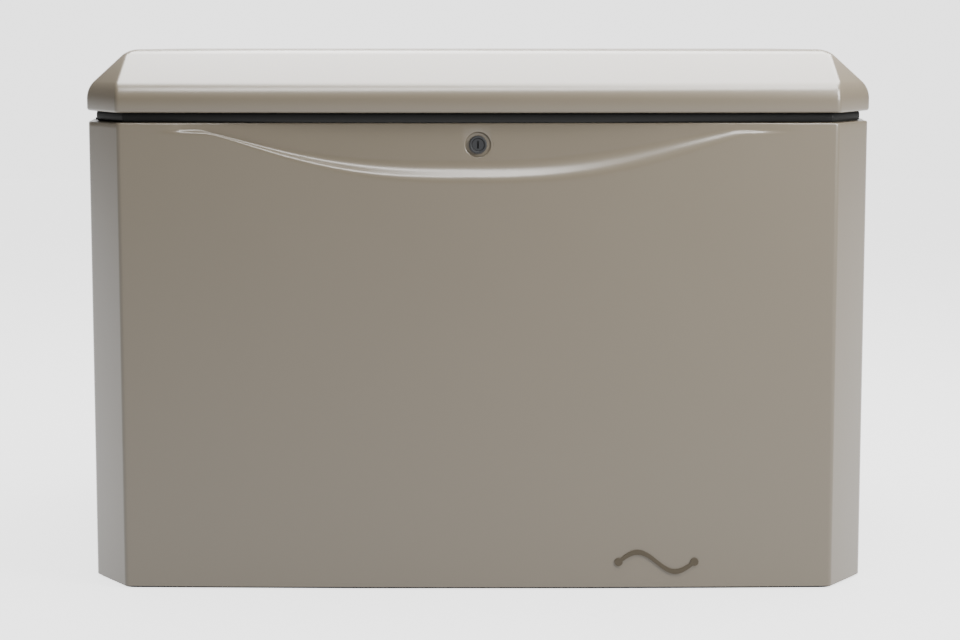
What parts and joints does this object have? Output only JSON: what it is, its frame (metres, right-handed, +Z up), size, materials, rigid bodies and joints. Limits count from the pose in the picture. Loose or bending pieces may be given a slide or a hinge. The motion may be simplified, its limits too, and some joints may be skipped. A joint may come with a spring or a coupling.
{
  "type": "home standby generator",
  "caption": "Weatherproof home standby generator with a lockable hinged roof, removable front panel and an air-cooled engine, alternator and controls inside.",
  "frame": {"origin": "centre of the pad face, under the middle of the enclosure", "axes": "+X to the right seen from the front, -Y out of the front panel, +Z up"},
  "size_m": [0.948, 0.652, 0.6496],
  "materials": {
    "shell": "satin",
    "seal": "satin",
    "foam": "matte",
    "steel": "satin",
    "painted_steel": "satin",
    "casting": "matte",
    "iron": "matte",
    "rubber": "matte",
    "plastic": "matte",
    "copper": "satin",
    "brass": "satin",
    "glass": "gloss",
    "paper": "matte",
    "red": "satin",
    "green": "satin",
    "mark": "satin"
  },
  "bodies": {
    "enclosure": {"rear_panel": "shell", "left_end_panel": "shell", "right_end_panel": "shell", "roof_gasket": "seal", "base_pan": "painted_steel", "cradle": "painted_steel", "rocker_cover": "painted_steel", "blower_housing": "painted_steel", "starter_motor": "painted_steel", "muffler_stand": "painted_steel", "bulkhead": "steel", "hinge_body_leaf": "steel", "spark_plug": "steel", "battery_clamp": "steel", "vibration_mount_front_left": "rubber", "vibration_mount_front_right": "rubber", "vibration_mount_rear_left": "rubber", "vibration_mount_rear_right": "rubber", "fuel_hose": "rubber", "crankcase": "casting", "crankcase_cover": "casting", "cylinder": "casting", "cylinder_head": "casting", "piston": "casting", "fuel_mixer": "casting", "stator_housing": "casting", "end_bell": "casting", "fuel_regulator": "casting", "muffler": "iron", "exhaust_pipe": "iron", "air_cleaner_box": "plastic", "air_cleaner_cover": "plastic", "battery": "plastic", "control_box": "plastic", "stator_windings": "copper", "fuel_inlet": "brass", "display_lens": "glass", "air_filter": "paper", "oil_filter": "red"},
    "front_cover": {"front_panel": "shell", "badge": "mark", "lock_barrel": "painted_steel"},
    "lock": {"lock_plug": "steel"},
    "roof": {"roof_shell": "shell", "roof_frame": "painted_steel", "roof_liner": "foam", "hinge_roof_leaf": "steel", "roof_keeper": "steel"},
    "prop": {"prop_rod": "steel"},
    "crank_assembly": {"crankshaft": "steel", "flywheel_fan": "casting", "rotor": "steel"},
    "throttle": {"throttle_shaft": "brass"},
    "breaker": {"breaker_lever": "red"},
    "off_key": {"off_button": "red"},
    "run_key": {"run_button": "plastic"},
    "auto_key": {"auto_button": "green"},
    "filler_cap": {"oil_cap": "plastic"},
    "drain_lever": {"oil_drain_lever": "red"}
  },
  "joints": [
    {"name": "roof_hinge", "type": "hinge", "parent": "enclosure", "child": "roof", "pos_m": [0, 0.3199, 0.57], "axis": [-1, 0, 0], "range_deg": [0, 65]},
    {"name": "prop_swing", "type": "hinge", "parent": "roof", "child": "prop", "pos_m": [0.4345, -0.1605, 0.56], "axis": [-1, 0, 0], "range_deg": [0, 80]},
    {"name": "front_panel_off", "type": "slide", "parent": "enclosure", "child": "front_cover", "axis": [0, -1, 0], "range_m": [0, 0.15]},
    {"name": "lock_turn", "type": "hinge", "parent": "front_cover", "child": "lock", "pos_m": [0, -0.3, 0.538], "axis": [0, 1, 0], "range_deg": [0, 90]},
    {"name": "crank_spin", "type": "hinge", "parent": "enclosure", "child": "crank_assembly", "pos_m": [0.06, 0.02, 0.168], "axis": [1, 0, 0], "continuous": true},
    {"name": "throttle_turn", "type": "hinge", "parent": "enclosure", "child": "throttle", "pos_m": [0.06, -0.0763, 0.3806], "axis": [-1, 0, 0], "range_deg": [0, 60]},
    {"name": "breaker_throw", "type": "hinge", "parent": "enclosure", "child": "breaker", "pos_m": [-0.3523, -0.268, 0.37], "axis": [1, 0, 0], "range_deg": [0, 50]},
    {"name": "off_press", "type": "slide", "parent": "enclosure", "child": "off_key", "axis": [0, 1, 0], "range_m": [0, 0.0025], "stiffness_N_per_m": 800},
    {"name": "run_press", "type": "slide", "parent": "enclosure", "child": "run_key", "axis": [0, 1, 0], "range_m": [0, 0.0025], "stiffness_N_per_m": 800},
    {"name": "auto_press", "type": "slide", "parent": "enclosure", "child": "auto_key", "axis": [0, 1, 0], "range_m": [0, 0.0025], "stiffness_N_per_m": 800},
    {"name": "filler_cap_turn", "type": "hinge", "parent": "enclosure", "child": "filler_cap", "pos_m": [0.06, -0.016, 0.46], "axis": [0, 0, 1], "range_deg": [0, 90]},
    {"name": "drain_lever_turn", "type": "hinge", "parent": "enclosure", "child": "drain_lever", "pos_m": [0.03, 0.131, 0.09], "axis": [0, 0, 1], "range_deg": [0, 90]}
  ]
}
